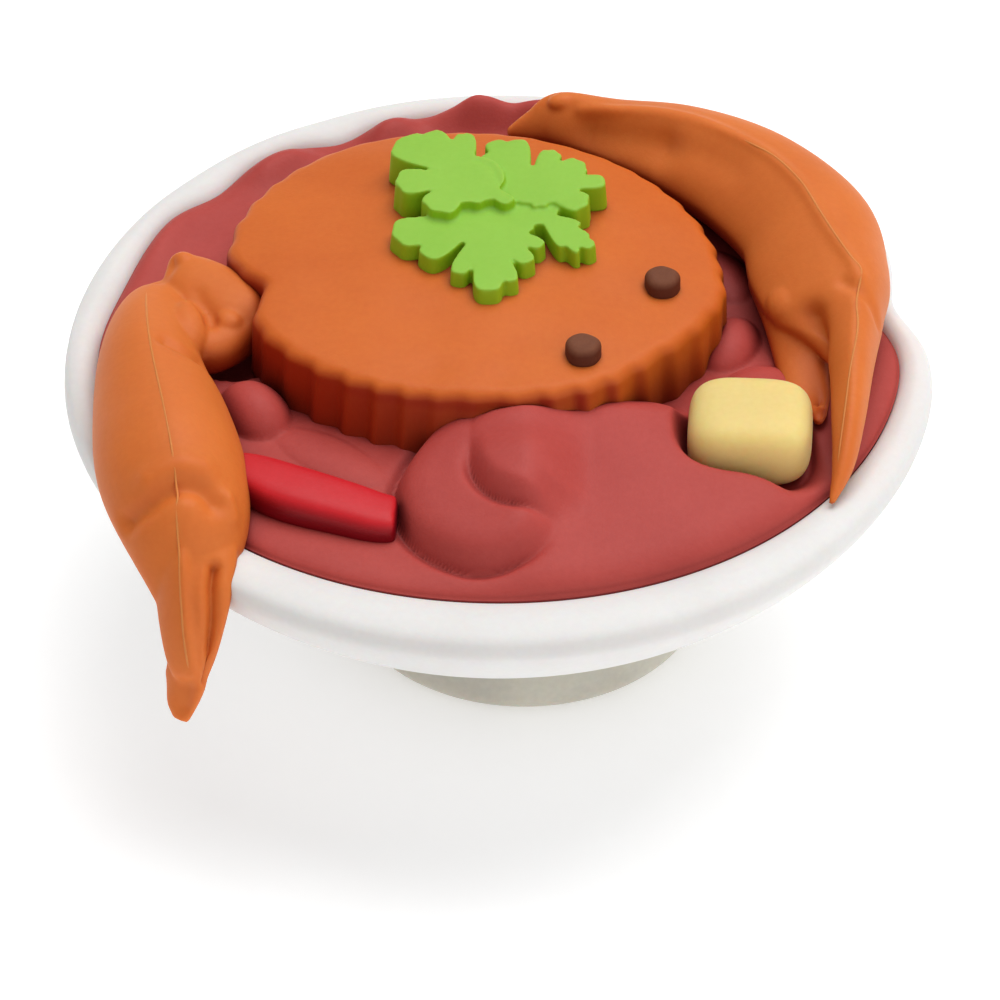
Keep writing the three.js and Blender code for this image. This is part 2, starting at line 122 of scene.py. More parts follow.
# What the pigment and the mould leave on the rubber: how wide each is, and how deep, in millimetres.
PIGMENT_DRIFT = 4.0
PIGMENT_SPECK = 0.25
ETCHED_GRAIN = 0.1
ETCHED_DEPTH = 0.012
HAND_WAVE = 1.5
HAND_WAVE_DEPTH = 0.06
GLOSS_SPREAD = 0.06  # how much the etched grain makes the gloss differ


def moulded_pvc(
    name, colour, worn, steep_shade=None, right_side_light=None, hollow_shade=None, hollow_shade_mm=2.5, roughness=0.55,
    glow=0.25, glow_mm=0.5, grain=0.5,
):
    """Soft PVC from an etched mould: pigment that varies a little, a fine matte grain, soft edges.

    steep_shade is painted shade: the deeper colour given to upright sides, while upward faces keep the
    plain colour, and right_side_light is the painted light it turns to on the sides that face right.
    hollow_shade is painted shade: the deeper colour where ambient occlusion finds walls within
    hollow_shade_mm. glow is how much light enters the rubber, glow_mm how far it spreads there, and
    grain how strongly the etched grain shows.
    """
    material = bpy.data.materials.new(name)
    material.use_nodes = True
    tree = material.node_tree
    surface = tree.nodes["Principled BSDF"]
    place = add_node(tree, "TexCoord").outputs["Object"]

    # Pigment drifts slowly from place to place, and settles in fine specks.
    drift_scale, speck_scale = 1 / (PIGMENT_DRIFT * MM), 1 / (PIGMENT_SPECK * MM)
    drift = add_node(tree, "TexNoise", {"Scale": drift_scale, "Detail": 2.0}, {"Vector": place})
    specks = add_node(tree, "TexNoise", {"Scale": speck_scale, "Detail": 3.0}, {"Vector": place})
    mottle = add_node(
        tree, "Math", {"operation": "MULTIPLY_ADD", 1: 0.45},
        {0: specks.outputs["Fac"], 2: drift.outputs["Fac"]},
    )
    spread = add_node(
        tree, "MapRange", {"From Min": 0.45, "From Max": 1.0}, {"Value": mottle.outputs[0]}
    )
    pigment = add_node(
        tree, "Mix", {"data_type": "RGBA", 6: linear(worn), 7: linear(colour)},
        {0: spread.outputs["Result"]},
    )
    tint = pigment.outputs[2]
    # Painted shade: upright sides get a darker colour than upward faces, and painted light lightens it on
    # sides that face right.
    if steep_shade:
        facing = add_node(tree, "SeparateXYZ", links={0: add_node(tree, "NewGeometry").outputs["Normal"]})
        slope_shade_mask = add_node(
            tree, "MapRange", {"From Min": 0.1, "From Max": 0.8}, {"Value": facing.outputs["Z"]}
        )
        right_light_mask = add_node(
            tree, "MapRange", {"From Min": 0.0, "From Max": 1.1}, {"Value": facing.outputs["X"]}
        )
        side = add_node(
            tree, "Mix", {"data_type": "RGBA", 6: linear(steep_shade), 7: linear(right_side_light or steep_shade)},
            {0: right_light_mask.outputs["Result"]},
        )
        tint = add_node(
            tree, "Mix", {"data_type": "RGBA"},
            {0: slope_shade_mask.outputs["Result"], 6: side.outputs[2], 7: tint},
        ).outputs[2]
    # Painted shade: the colour darkens where ambient occlusion finds other walls close by.
    if hollow_shade:
        open_air = add_node(tree, "AmbientOcclusion", {"samples": 8, "Distance": hollow_shade_mm * MM})
        hollow_shade_mask = add_node(
            tree, "MapRange", {"From Min": 0.1, "From Max": 0.75}, {"Value": open_air.outputs["AO"]}
        )
        tint = add_node(
            tree, "Mix", {"data_type": "RGBA", 6: linear(hollow_shade)}, {0: hollow_shade_mask.outputs["Result"], 7: tint}
        ).outputs[2]
    tree.links.new(tint, surface.inputs["Base Color"])

    # The mould's etched grain is fine, and its hand-cut surface waves more broadly.
    grain_scale, wave_scale = 1 / (ETCHED_GRAIN * MM), 1 / (HAND_WAVE * MM)
    etched = add_node(tree, "TexNoise", {"Scale": grain_scale, "Detail": 4.0}, {"Vector": place})
    waves = add_node(tree, "TexNoise", {"Scale": wave_scale, "Detail": 1.0}, {"Vector": place})
    wavy = add_node(
        tree, "Bump", {"Strength": 0.5, "Distance": HAND_WAVE_DEPTH * MM}, {"Height": waves.outputs["Fac"]}
    )
    grainy = add_node(
        tree, "Bump", {"Strength": grain, "Distance": ETCHED_DEPTH * MM},
        {"Height": etched.outputs["Fac"], "Normal": wavy.outputs["Normal"]},
    )
    tree.links.new(grainy.outputs["Normal"], surface.inputs["Normal"])
    gloss = add_node(
        tree, "MapRange", {"To Min": roughness - GLOSS_SPREAD, "To Max": roughness + GLOSS_SPREAD},
        {"Value": etched.outputs["Fac"]},
    )
    tree.links.new(gloss.outputs["Result"], surface.inputs["Roughness"])

    # The refractive index of soft PVC, and a low sheen. Red light goes furthest into the rubber.
    surface.inputs["IOR"].default_value = 1.53
    surface.inputs["Specular IOR Level"].default_value = 0.25
    surface.inputs["Subsurface Weight"].default_value = glow
    surface.inputs["Subsurface Radius"].default_value = (1.0, 0.45, 0.25)
    surface.inputs["Subsurface Scale"].default_value = glow_mm * MM
    return material


foot_low, foot_high = corners("foot")
FOOT_RADIUS = (foot_high[0] - foot_low[0]) / 2
FOOT_HEIGHT = foot_high[2]
FOOT_ROUNDING = 0.9  # the moulded round of its lower edge
FOOT_TOP_ROUND = 0.15
FOOT_SIDES = 160

quarter = np.linspace(0, math.pi / 2, 16)
lower_round = np.stack(
    [
        FOOT_RADIUS - FOOT_ROUNDING * (1 - np.sin(quarter)),
        FOOT_ROUNDING * (1 - np.cos(quarter)),
    ],
    -1,
)
upper_round = np.stack(
    [
        FOOT_RADIUS - FOOT_TOP_ROUND * (1 - np.cos(quarter)),
        FOOT_HEIGHT - FOOT_TOP_ROUND * (1 - np.sin(quarter)),
    ],
    -1,
)
foot_profile = np.vstack([[[FOOT_RADIUS * 0.4, 0]], lower_round, upper_round])
foot = skin("foot_button", revolved(foot_profile, FOOT_SIDES), np.zeros(3))
# Light sinks deep into it, so it looks milky and grey-white, and a little shinier than the rest.
foot.data.materials.append(
    moulded_pvc("milky_soft_pvc", "#D0CDBF", "#BCB8AC", roughness=0.42, glow=0.6, glow_mm=1.2)
)
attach(foot, "root")
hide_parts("foot")

# ---------------------------------------------------------------- bowl
# A shallow round bowl of soft white PVC with a broad rolled lip, bonded to the foot. It is a
# little flat on the right, and pinched in where the right claw's knuckle is bonded to the rim.

BOWL_RADIUS = 16.0
LIP_INNER_RADIUS = 14.05
bowl_low, bowl_high = corners("bowl")
BOWL_AXIS = np.array([bowl_low[0] + BOWL_RADIUS, bowl_high[1] - BOWL_RADIUS, 0.0])
CREST = bowl_high[2]
BOWL_BASE = bowl_low[2]


def bell(distance, width):
    """A soft bump: 1 at no distance, and fading out over the width on either side."""
    return np.exp(-((distance / width) ** 2))


def ease(value, start, end):
    """0 before start and 1 after end, smooth between them."""
    t = np.clip((value - start) / (end - start), 0, 1)
    return t * t * (3 - 2 * t)


def angle_between(a, b):
    """The signed angle from b to a in degrees, between -180 and 180."""
    return (a - b + 180) % 360 - 180


def bowl_share(angle):
    """The outer radius in a direction, as a share of the bowl's full radius."""
    a = np.degrees(angle)
    flat = 0.017 * bell(angle_between(a, -22), 42)
    pinch = 0.062 * bell(angle_between(a, 13), 8.5)
    return 1 - flat - pinch


def lip_inner(angle):
    """Radius of the lip's inner edge: broad at the front, narrow at the back, wavy at the left."""
    a = np.degrees(angle)
    waves = 0.5 * bell(angle_between(a, 115), 5) + 0.45 * bell(angle_between(a, 137), 6)
    waves = waves + 0.35 * bell(angle_between(a, 162), 12)
    return LIP_INNER_RADIUS + 0.75 * np.sin(angle) + 0.7 * np.cos(angle) ** 2 - waves


BOWL_SIDES = 360
WALL_SPREAD = 0.541  # how fast the wall draws in below the lip
WALL_CURVE = 1.37  # and how much faster lower down
WALL_TUCK = 0.75  # how much more it draws in above the foot
around = np.linspace(0, TURN, BOWL_SIDES, endpoint=False)
LIP_BASE = 10.4  # where the wall turns into the lip
below_lip = LIP_BASE - np.linspace(BOWL_BASE, LIP_BASE, 40)
wall_radius = BOWL_RADIUS - WALL_SPREAD * below_lip**WALL_CURVE - WALL_TUCK * ease(below_lip, 3, 7)
outer_wall = np.stack([wall_radius, LIP_BASE - below_lip], -1)
# Over the lip: how far from its outer to its inner edge, and the height there.
lip_section = smooth_through(
    [[0.01, 10.6], [0.07, 10.93], [0.22, 11.12], [0.5, CREST], [0.8, 11.05], [0.97, 10.75], [1.0, 10.4]], 6
)
bowl_rings = []
for radius, height in outer_wall:
    r = radius * bowl_share(around)
    bowl_rings.append(np.stack([r * np.cos(around), r * np.sin(around), np.full_like(r, height)], -1))
for share, height in lip_section:
    r = (BOWL_RADIUS + share * (lip_inner(around) - BOWL_RADIUS)) * bowl_share(around)
    bowl_rings.append(np.stack([r * np.cos(around), r * np.sin(around), np.full_like(r, height)], -1))
# The inside, which the sauce hides.
for share, height in [(0.93, 8.7), (0.76, 6.9), (0.54, 5.2)]:
    r = share * lip_inner(around) * bowl_share(around)
    bowl_rings.append(np.stack([r * np.cos(around), r * np.sin(around), np.full_like(r, height)], -1))
bowl = skin("white_bowl", bowl_rings, BOWL_AXIS)
# A clean, slightly warm white with the faintest grain and soft, glowing shadows.
bowl.data.materials.append(
    moulded_pvc("white_soft_pvc", "#E8E7E5", "#E1DFDD", roughness=0.5, glow=0.3, glow_mm=0.7, grain=0.3)
)
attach(bowl, "root")
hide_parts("bowl")

# ---------------------------------------------------------------- chilli sauce
# Thick red sauce of dull soft PVC, which fills the bowl and is bonded to it: a bank against the
# front of the shell, two curls, lumps beside both claws and a wavy heap at the back.

SHELL_BOTTOM = corners("crab_shell")[0][2]
SHELL_RADIUS = 8.85
SHELL_CENTRE = np.array([-1.0, 2.4])
SAUCE_EDGE = 10.85
SAUCE_EDGE_ROUND = 1.1
SAUCE_BOND = 0.05  # how far it runs into the lip
LOW_LEVEL = 11.2  # the sauce where nothing is heaped
CURL_FOLD = 0.3  # width of the crease round a curl


def shell_radius(angle):
    """The shell's outline round its middle: flat at the face, a corner, a notch for the left arm."""
    a = np.degrees(angle)
    broad = 0.4 * np.cos(2 * (angle + math.radians(28)))
    flat = 0.65 * bell(angle_between(a, -80), 40) + 0.45 * bell(angle_between(a, -38), 17)
    corner = 0.15 * bell(angle_between(a, -10), 6)
    notch = 1.1 * bell(angle_between(a, -171), 9)
    return SHELL_RADIUS + broad + corner - flat - notch


def shell_draft(angle):
    """How much further out the wall stands at its foot than at its rim."""
    return 0.5 * bell(angle_between(np.degrees(angle), -92), 42)


def rounded_edge(inside, width):
    """0 outside an edge, rising inside it as a quarter circle to 1 at the width."""
    t = np.clip(inside / width, 0, 1)
    return np.sqrt(1 - (1 - t) ** 2)


def lump(x, y, centre, radii, turn, height):
    """A soft dollop: an ellipse in plan, turned by degrees, with a rounded section."""
    c, s = math.cos(math.radians(turn)), math.sin(math.radians(turn))
    u = ((x - centre[0]) * c + (y - centre[1]) * s) / radii[0]
    v = (-(x - centre[0]) * s + (y - centre[1]) * c) / radii[1]
    return height * np.clip(1 - u * u - v * v, 0, 1) ** 0.75


def curl(x, y, centre, outline, width):
    """A folded-over curl of sauce, full inside its outline and softer to the right, and its crease."""
    bearing = np.degrees(np.arctan2(y - centre[1], x - centre[0])) % 360
    directions, reaches = smooth_through(outline, 8).T
    inside = np.interp(bearing, directions, reaches) - np.hypot(x - centre[0], y - centre[1])
    run_out = ease(x, 0.2, 1.9)
    full = rounded_edge(inside, width) * (1 - run_out) + ease(inside, -0.5, 1.5) * run_out
    return full, bell(inside, CURL_FOLD)


BIG_CURL = [(0, 6), (60, 6), (120, 4.5), (142, 4.1), (180, 4.15), (211, 4.25), (232, 4.25), (254, 4.15),
            (277, 3.65), (296, 3.2), (310, 2.85), (322, 2.8), (335, 3.6), (360, 6)]
SMALL_CURL = [(0, 4), (110, 4), (133, 3.1), (157, 2.7), (180, 2.5), (211, 2.75), (239, 3.0), (262, 3.1),
              (280, 3.25), (300, 3.1), (325, 3.4), (360, 4)]
# The crest of the back heap: direction from the bowl's axis, and height.
BACK_CREST = [(58, 11.6), (70, 12.3), (80, 12.45), (85, 12.3), (88.5, 12.1), (92, 12.45), (94.5, 12.5),
              (98, 11.9), (102, 11.45), (106, 11.8), (109, 11.75), (113, 11.1), (118, 11.05), (124, 11.7),
              (129, 11.75), (134, 11.3), (140, 11.25), (147, 11.5), (153, 11.55), (160, 11.4),
              (168, 11.35), (182, 11.3), (200, 11.2)]
BUN_PLACE = (8.95, -5.15)
BUN_HALF = (2.25, 2.0, 1.4)


def sauce_height(x, y):
    """Height of the sauce's face at a place, x and y from the bowl's axis."""
    angle = np.arctan2(y, x)
    radius = np.hypot(x, y)
    to_lip = lip_inner(angle) * bowl_share(angle) - radius
    shell_angle = np.arctan2(y - SHELL_CENTRE[1], x - SHELL_CENTRE[0])
    wall_foot = shell_radius(shell_angle) + shell_draft(shell_angle)
    from_wall = np.hypot(x - SHELL_CENTRE[0], y - SHELL_CENTRE[1]) - wall_foot
    bearing = np.degrees(shell_angle)
    up_slope = np.clip(to_lip / (np.maximum(from_wall, 0) + np.maximum(to_lip, 0.01)), 0, 1)

    # A low rounded edge all round, and a bank that climbs to the shell's wall and ends by the bun.
    level = SAUCE_EDGE + (LOW_LEVEL - SAUCE_EDGE) * rounded_edge(to_lip, SAUCE_EDGE_ROUND)
    climb = 0.25 + 1.3 * ease(x, -4.5, 2.5)
    front = ease(-y, 2.0, 5.0) * (1 - ease(bearing, -44, -35))
    ripple = 0.1 * np.cos(np.radians(bearing + 55) * 11) * ease(x, -1, 1)
    level = level + front * (climb + ripple) * up_slope ** (0.85 - 0.35 * ease(x, -1.5, 2.0))

    # The big curl, and the small one on top of it. Both run out to the right into the bank.
    big, big_crease = curl(x, y, (0.3, -8.3), BIG_CURL, 1.3)
    small, small_crease = curl(x, y, (1.4, -7.2), SMALL_CURL, 0.6)
    fold = ease(-y, 3.0, 5.5)
    off_wall = 0.1 + 0.9 * ease(from_wall, 0.3, 2.4)
    level = level + fold * (1 - ease(x, 0.6, 3.4)) * 0.95 * big
    level = level + fold * (1 - ease(x, 0.8, 3.2)) * off_wall * 0.6 * small
    level = level - fold * (1 - ease(x, 0.9, 2.3)) * (0.3 * big_crease + 0.32 * off_wall * small_crease)

    # Lumps and a hollow beside the left claw, and lumps between the shell and the right claw.
    for centre, radii, turn, height in [
        ((-9.0, -3.4), (1.7, 1.3), -65, 1.15),
        ((-9.7, -0.3), (1.5, 1.1), 10, -0.7),
        ((-6.2, -6.0), (2.4, 1.0), -38, 0.18),
        ((8.3, 0.6), (1.6, 1.1), 70, 0.7),
        ((9.2, -2.0), (1.6, 1.2), 40, 0.55),
        ((8.2, 4.6), (1.6, 1.0), 110, 0.4),
    ]:
        level = level + lump(x, y, centre, radii, turn, height)

    # The heap at the back crests just inside the lip, in uneven waves with one sharp peak.
    degrees = np.degrees(angle) % 360
    directions, heights = smooth_through(BACK_CREST, 6).T
    heaped = np.interp(degrees, directions, heights) - LOW_LEVEL
    heaped = np.where((degrees > 58) & (degrees < 200), heaped, 0)
    crest_place = 0.9 - 0.4 * ease(degrees, 128, 145)
    level = level + heaped * bell(to_lip - crest_place, 0.75) * rounded_edge(to_lip, 0.6)

    # A pocket for the bun, open to the front and the right.
    across = np.abs((x - BUN_PLACE[0]) / BUN_HALF[0])
    along = np.abs((y - BUN_PLACE[1]) / BUN_HALF[1])
    from_bun = 2.1 * (np.hypot(across**1.5, along**1.5) ** (2 / 3) - 1)
    open_side = ease(x - BUN_PLACE[0], -0.6, 1.6) * ease(BUN_PLACE[1] - y, -0.4, 1.6)
    pocket_floor = 10.95 - 0.3 * open_side
    pocket_slope = 3.4 - 2.5 * open_side
    pocket = pocket_floor + pocket_slope * np.maximum(from_bun, 0)
    blend = 0.25
    level = -blend * np.logaddexp(-level / blend, -pocket / blend)

    # Under the shell the sauce is only a level bed. It follows the wall's lean where that leans.
    under = ease(-from_wall - 0.8 * shell_draft(shell_angle), 0.05, 0.3)
    return level * (1 - under) + (SHELL_BOTTOM - 0.05) * under


SAUCE_SIDES = 540
around = np.linspace(0, TURN, SAUCE_SIDES, endpoint=False)
reach = lip_inner(around) * bowl_share(around) + SAUCE_BOND
sauce_rings = []
# Its underside in the bowl, then its face, from the lip in to the hidden middle under the shell.
for share, height in [(0.53, 5.3), (0.74, 7.0), (0.91, 8.8), (0.985, 10.2)]:
    r = share * reach
    sauce_rings.append(np.stack([r * np.cos(around), r * np.sin(around), np.full_like(r, height)], -1))
edge_steps = 1 - np.array([0, 0.0005, 0.0015, 0.003])
for share in np.concatenate([edge_steps, np.linspace(0.994, 0.36, 118)]):
    r = share * reach
    x, y = r * np.cos(around), r * np.sin(around)
    sauce_rings.append(np.stack([x, y, sauce_height(x, y)], -1))
sauce = skin("chilli_sauce", sauce_rings, BOWL_AXIS)
# A dull, grainy, greyed red, with painted shade that darkens it in its creases.
sauce.data.materials.append(
    moulded_pvc(
        "dull_red_soft_pvc", "#BA4A43", "#AE413B", hollow_shade="#661618", hollow_shade_mm=1.3, roughness=0.6,
        glow=0.2, grain=0.8,
    )
)
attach(sauce, "root")
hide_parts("sauce")

# ---------------------------------------------------------------- crab shell
# The crab's back: one thick pad of burnt-orange PVC, bonded onto the sauce, with a finely fluted
# wall and a soft rim. Its top swells a little and is slightly uneven, as hand-cut moulds are.

SHELL_FLUTES = 40
FLUTE_DEPTH = 0.085
SHELL_MIDDLE = 14.25
RIM_ROUND = 0.5
SHELL_SIDES = SHELL_FLUTES * 18


def flutes(angle):
    """Soft ribs round the wall, a little uneven in width and depth."""
    phase = SHELL_FLUTES * angle + 0.8 * np.sin(3 * angle) + 0.7 * np.sin(7 * angle + 1)
    return FLUTE_DEPTH * (np.sin(phase) + 0.18 * np.sin(2 * phase)) * (1 + 0.25 * np.sin(5 * angle))


def shell_rim(angle):
    """Height of the rim: the back is a little lower than the face."""
    return 13.5 - 0.4 * np.sin(angle)


def shell_top(x, y):
    """Height of the shell's back at a place, x and y from the shell's middle."""
    share = np.minimum(np.hypot(x, y) / SHELL_RADIUS, 1)
    rim = shell_rim(np.arctan2(y, x))
    uneven = 0.05 * np.sin(1.1 * x + 0.7 * y) * np.sin(0.9 * y - 0.5 * x + 1.2)
    hump = 0.15 * bell(np.hypot(x + 4.0, y - 6.0), 2.0)
    dents = 0.07 * bell(np.hypot(x + 1.4, y + 6.6), 0.8) + 0.06 * bell(np.hypot(x - 1.0, y + 7.1), 0.6)
    return rim + (SHELL_MIDDLE - rim) * (1 - share**2) + uneven * (1 - share**6) + hump - dents


around = np.linspace(0, TURN, SHELL_SIDES, endpoint=False)
outline = shell_radius(around)
shell_rings = []
# Up the fluted wall.
for share in np.linspace(0, 1, 10):
    r = outline + shell_draft(around) * (1 - share) + flutes(around) * (1 - 0.4 * share**2)
    height = SHELL_BOTTOM + share * (shell_rim(around) - RIM_ROUND - SHELL_BOTTOM)
    shell_rings.append(np.stack([r * np.cos(around), r * np.sin(around), height], -1))
# Over the rim, where the flutes die away.
for turn in np.linspace(0, math.pi / 2, 10)[1:]:
    fade = 0.56 * math.cos(turn) + 0.04
    r = outline + fade * flutes(around) - RIM_ROUND * (1 - math.cos(turn))
    x, y = r * np.cos(around), r * np.sin(around)
    drop = RIM_ROUND * (1 - math.sin(turn))
    shell_rings.append(np.stack([x, y, shell_top(x, y) - drop], -1))
# In across the back.
for share in np.linspace(0.98, 0.04, 30):
    fade = 0.04 * max(0, (share - 0.9) / 0.1)
    r = share * (outline - RIM_ROUND) + fade * flutes(around)
    x, y = r * np.cos(around), r * np.sin(around)
    shell_rings.append(np.stack([x, y, shell_top(x, y)], -1))
shell_origin = BOWL_AXIS + np.array([*SHELL_CENTRE, 0])
shell = skin("crab_back", shell_rings, shell_origin)
# Painted shade turns the upright wall red-brown and painted light lightens it to the right; the back keeps
# the plain orange, and painted shade deepens the flutes.
shell.data.materials.append(
    moulded_pvc(
        "burnt_orange_soft_pvc", "#D66C24", "#CC621E", steep_shade="#A22C08", right_side_light="#D06C18",
        hollow_shade="#5C1002", glow=0.3,
    )
)
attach(shell, "root")
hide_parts("crab_shell")

# ---------------------------------------------------------------- eyes
# Two short pegs of dark brown PVC with a soft upper edge. Each is a colour of its own, bonded to
# the shell with its foot sunk a little into it.

EYE_ROUND = 0.3
EYE_SUNK = 0.25
EYE_SIDES = 64
# A dull, rough brown that takes hardly any light in, so the pegs stay the darkest spots. Painted shade
# darkens their upright sides.
eye_brown = moulded_pvc(
    "dark_brown_soft_pvc", "#7A4830", "#683A26", steep_shade="#5A2A18", roughness=0.75, glow=0.1, grain=0.9
)
for eye_name in ("eye_left", "eye_right"):
    eye_low, eye_high = corners(eye_name)
    middle = (eye_low + eye_high) / 2
    radius = (eye_high[0] - eye_low[0]) / 2
    base, tip = eye_low[2] - EYE_SUNK, eye_high[2]
    eye_profile = [[radius, base], [radius, tip - EYE_ROUND * 2]]
    for turn in np.linspace(0, math.pi / 2, 9):
        inset = EYE_ROUND * (1 - math.cos(turn))
        eye_profile.append([radius - inset, tip - EYE_ROUND + EYE_ROUND * math.sin(turn)])
    eye_profile += [[radius * 0.5, tip], [radius * 0.1, tip]]
    eye_rings = np.array(revolved(eye_profile, EYE_SIDES))
    a = np.linspace(0, TURN, EYE_SIDES, endpoint=False)
    # Neither peg is quite round.
    eye_rings[..., :2] *= (1 + 0.03 * np.sin(3 * a + 1) + 0.02 * np.sin(5 * a))[:, None] - 0.02
    eye = skin(eye_name + "_peg", eye_rings, np.array([middle[0], middle[1], 0]))
    eye.data.materials.append(eye_brown)
    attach(eye, "root")
    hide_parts(eye_name)

# ---------------------------------------------------------------- claws
# Two claws of orange PVC, a little lighter than the shell, bonded to the sauce and the rim. Each is
# a smooth tapering limb with a ridge along its back, where the two halves of the mould met and left
# a fine raised line.

CLAW_GRAIN = 0.075  # how finely the limbs of a claw are melted together
STATION_STEPS = 10
LINE_THICKNESS = 0.042


def limb(stations, sides=48, sharp=(1, 1)):
    """Rings along a curve of stations. Each station is a centre and five sizes, seen along the limb:
    width to the right, width to the left, ridge height, depth, and how far right the ridge lies.
    sharp bends the right and the left flank inwards; 1 is round, and less is fuller than round.
    """
    centres = smooth_through([s[0] for s in stations], STATION_STEPS)
    sizes = smooth_through([s[1] for s in stations], STATION_STEPS)
    sizes[:, :4] = sizes[:, :4].clip(0.03)
    right, left, ridge, depth, shift = (sizes[:, k:k + 1] for k in range(5))
    along = np.gradient(centres, axis=0)
    along /= np.linalg.norm(along, axis=1, keepdims=True)
    side = np.cross([0, 0, 1], along)
    side /= np.linalg.norm(side, axis=1, keepdims=True)
    rise = np.cross(along, side)
    a = np.linspace(0, TURN, sides, endpoint=False)
    c, s = np.cos(a), np.sin(a)
    upper = np.where(
        c > 0, (right - shift) * np.abs(c) ** sharp[0], -(left + shift) * np.abs(c) ** sharp[1]
    )
    lower = np.where(c > 0, right, left) * c
    bend = np.where(c > 0, sharp[0], sharp[1])
    across = np.where(s > 0, upper + shift, lower)
    height = np.where(s > 0, ridge * np.abs(s) ** bend, depth * s)
    return centres[:, None] + across[..., None] * side[:, None] + height[..., None] * rise[:, None]


def blob(centre, radii):
    """Rings of a rounded lump, to be melted into a limb."""
    lift = np.linspace(-1.5, 1.5, 20)[:, None]
    a = np.linspace(0, TURN, 32, endpoint=False)
    x = radii[0] * np.cos(lift) * np.cos(a)
    y = radii[1] * np.cos(lift) * np.sin(a)
    z = radii[2] * np.sin(lift) * np.ones_like(a)
    return np.stack([x, y, z], -1) + np.array(centre)


def fused(name, limbs, strokes, grain, smoothing):
    """Melts several limbs into one closed skin, smooths where they meet, and carves it.

    All points are in millimetres from the bowl's axis. Each stroke is a line of points, a width and
    a depth, and a negative depth raises the skin.
    """
    points, faces = [], []
    for rings in limbs:
        start = sum(len(p) for p in points)
        points.append(np.vstack([rings.reshape(-1, 3), rings[0].mean(0), rings[-1].mean(0)]))
        faces += [[v + start for v in face] for face in skin_faces(*rings.shape[:2])]
    rough = bpy.data.meshes.new(name + "_rough")
    rough.from_pydata(np.vstack(points).tolist(), [], faces)
    piece = bpy.data.objects.new(name, rough)
    bpy.context.scene.collection.objects.link(piece)
    melt = piece.modifiers.new("melt", "REMESH")
    melt.mode = "VOXEL"
    melt.voxel_size = grain
    soften = piece.modifiers.new("soften", "SMOOTH")
    soften.factor = 0.5
    soften.iterations = smoothing
    settled = piece.evaluated_get(bpy.context.evaluated_depsgraph_get())
    mesh = bpy.data.meshes.new_from_object(settled)
    piece.modifiers.clear()
    piece.data = mesh
    bpy.data.meshes.remove(rough)
    coordinates = np.empty(len(mesh.vertices) * 3)
    normals = np.empty(len(mesh.vertices) * 3)
    mesh.vertices.foreach_get("co", coordinates)
    mesh.vertex_normals.foreach_get("vector", normals)
    coordinates, normals = coordinates.reshape(-1, 3), normals.reshape(-1, 3)
    carved = coordinates.copy()
    for line, width, depth in strokes:
        away = np.full(len(coordinates), np.inf)
        for point in smooth_through(line, 16):
            away = np.minimum(away, np.linalg.norm(coordinates - point, axis=1))
        carved -= normals * (depth * bell(away, width))[:, None]
    placed = (carved + BOWL_AXIS) * MM
    mesh.vertices.foreach_set("co", placed.ravel())
    mesh.shade_smooth()
    return piece


def mould_line(name, points, claw):
    """The fine raised line left where the mould's halves met, laid on the claw's own skin."""
    deps = bpy.context.evaluated_depsgraph_get()
    tree = BVHTree.FromObject(claw, deps)
    line = []
    for point in smooth_through(points, 14):
        on_skin, normal, _, _ = tree.find_nearest(Vector((point + BOWL_AXIS) * MM))
        line.append(np.array(on_skin) / MM - np.array(normal) * LINE_THICKNESS * 0.3)
    line = np.array(line)
    for _ in range(12):
        line[1:-1] = (line[:-2] + line[1:-1] * 2 + line[2:]) / 4
    along = np.gradient(line, axis=0)
    along /= np.linalg.norm(along, axis=1, keepdims=True)
    side = np.cross([0, 0, 1], along)
    side /= np.linalg.norm(side, axis=1, keepdims=True)
    rise = np.cross(along, side)
    a = np.linspace(0, TURN, 10, endpoint=False)
    from_end = np.minimum(np.arange(len(line)), np.arange(len(line))[::-1])
    tapered = LINE_THICKNESS * np.clip(from_end / 6, 0.1, 1)
    ring = np.cos(a)[:, None] * side[:, None] + np.sin(a)[:, None] * rise[:, None]
    return skin(name, line[:, None] + ring * tapered[:, None, None], np.zeros(3))


# A warm orange, with painted shade that deepens it to a red-brown in its hollows and folds.
claw_orange = moulded_pvc(
    "orange_soft_pvc", "#DC7630", "#D26C2A", hollow_shade="#A0300A", hollow_shade_mm=4.0, glow=0.35, glow_mm=0.6
)
# A painted highlight: the thin raised line catches more light, so it is given a paler orange.
line_orange_highlight = moulded_pvc("orange_soft_pvc_line", "#E58845", "#DE7F3E", roughness=0.5, glow=0.35)

